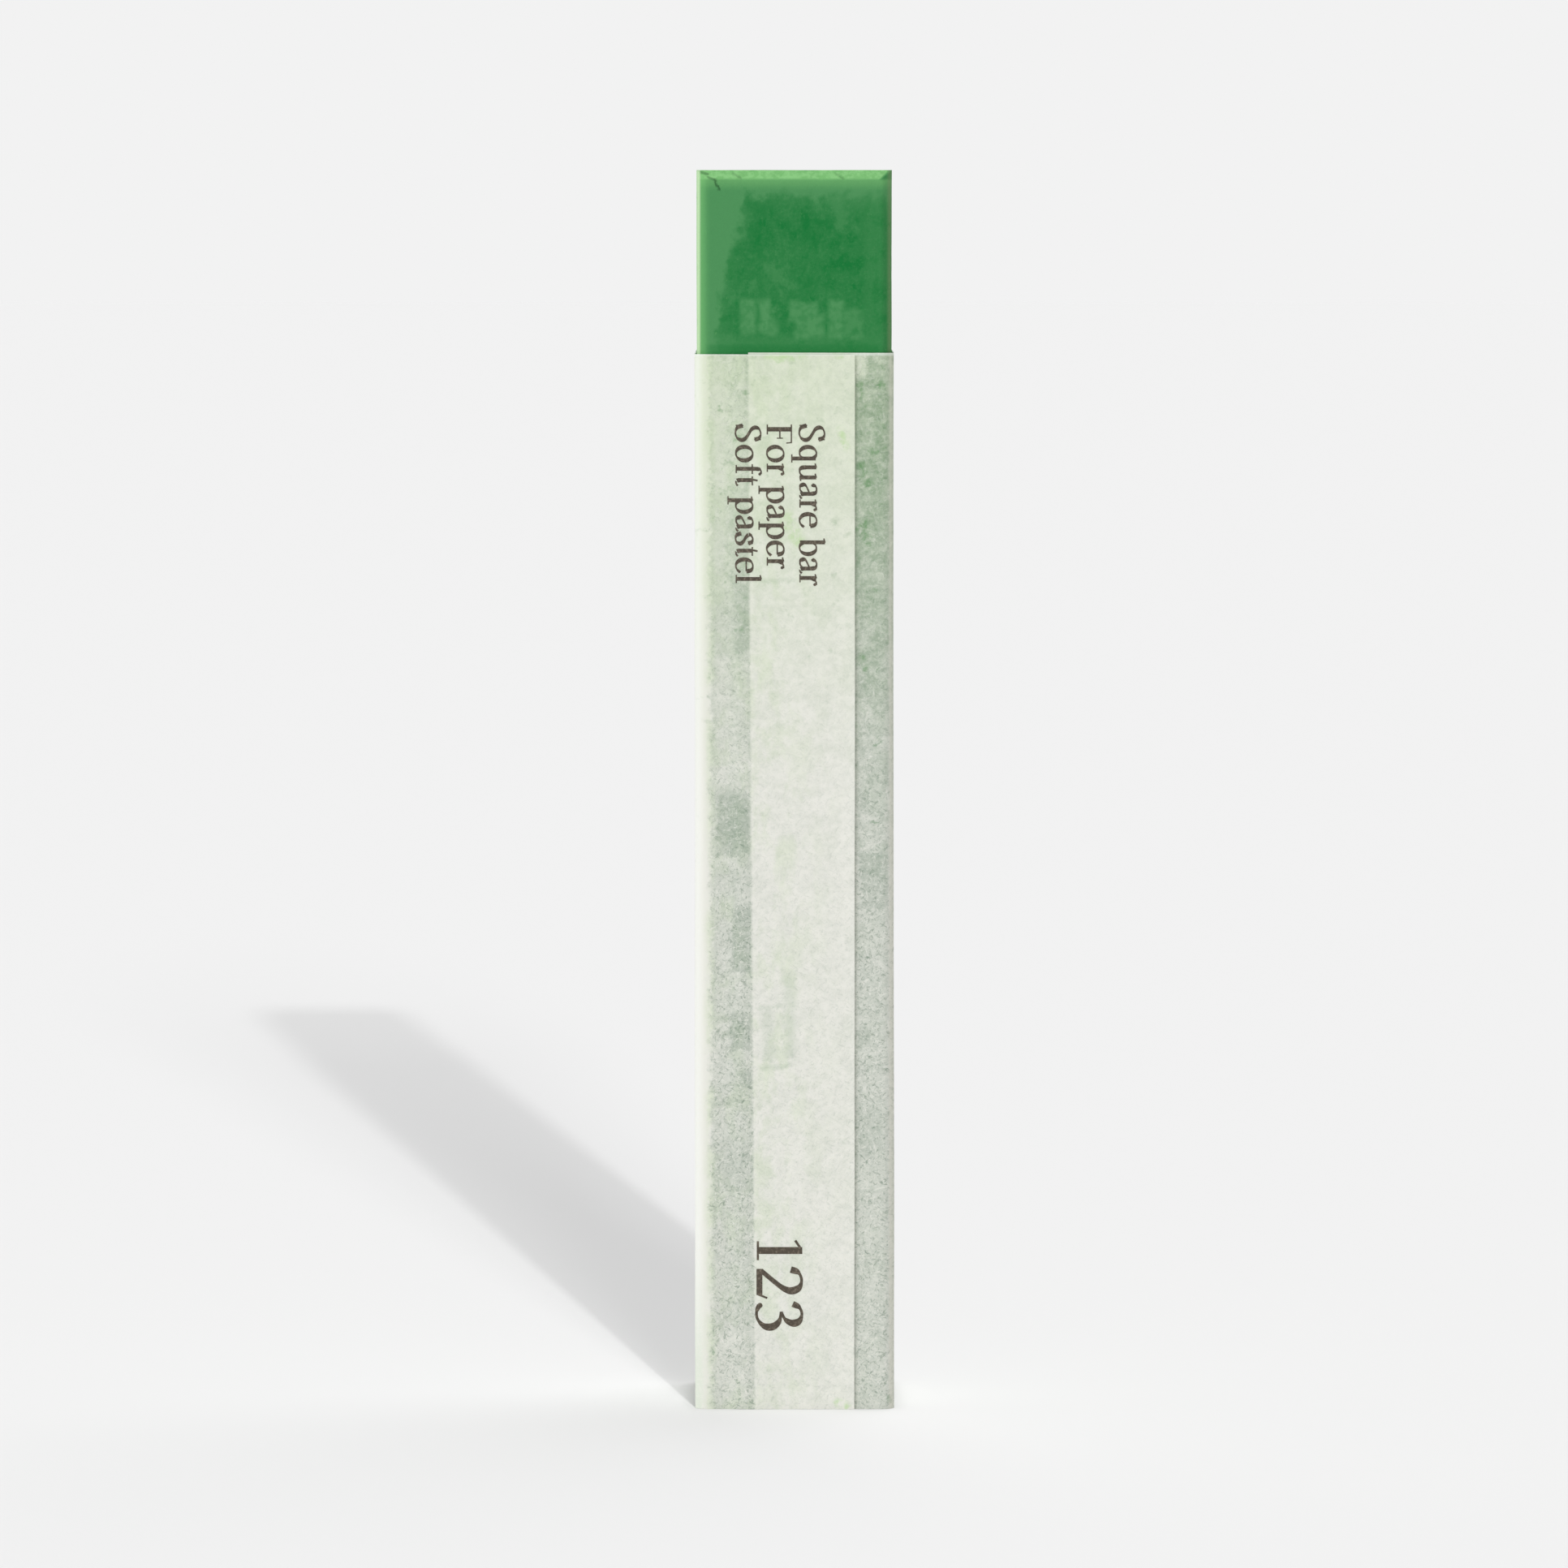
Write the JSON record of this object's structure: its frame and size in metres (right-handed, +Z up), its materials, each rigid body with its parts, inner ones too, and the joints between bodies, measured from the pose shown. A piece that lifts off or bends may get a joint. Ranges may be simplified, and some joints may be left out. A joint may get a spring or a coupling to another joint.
{
  "type": "square soft pastel stick",
  "caption": "Square artist's soft pastel stick in a thin paper sleeve that slides along it and off, for drawing and for laying down broad colour.",
  "frame": {"origin": "centre of the stick's lower end, where it stands", "axes": "+Z up along the stick, -Y out of the face where the sleeve laps over itself, +X to the right of someone looking at that face"},
  "size_m": [0.0104, 0.0105, 0.065],
  "materials": {
    "pastel": "matte",
    "label_paper": "matte",
    "adhesive": "satin",
    "label_ink": "matte"
  },
  "bodies": {
    "stick": {"pastel_stick": "pastel"},
    "sleeve": {"paper_sleeve": "label_paper", "seam_adhesive": "adhesive"}
  },
  "joints": [
    {"name": "sleeve_slide", "type": "slide", "parent": "stick", "child": "sleeve", "axis": [0, 0, 1], "range_m": [0, 0.066]}
  ]
}
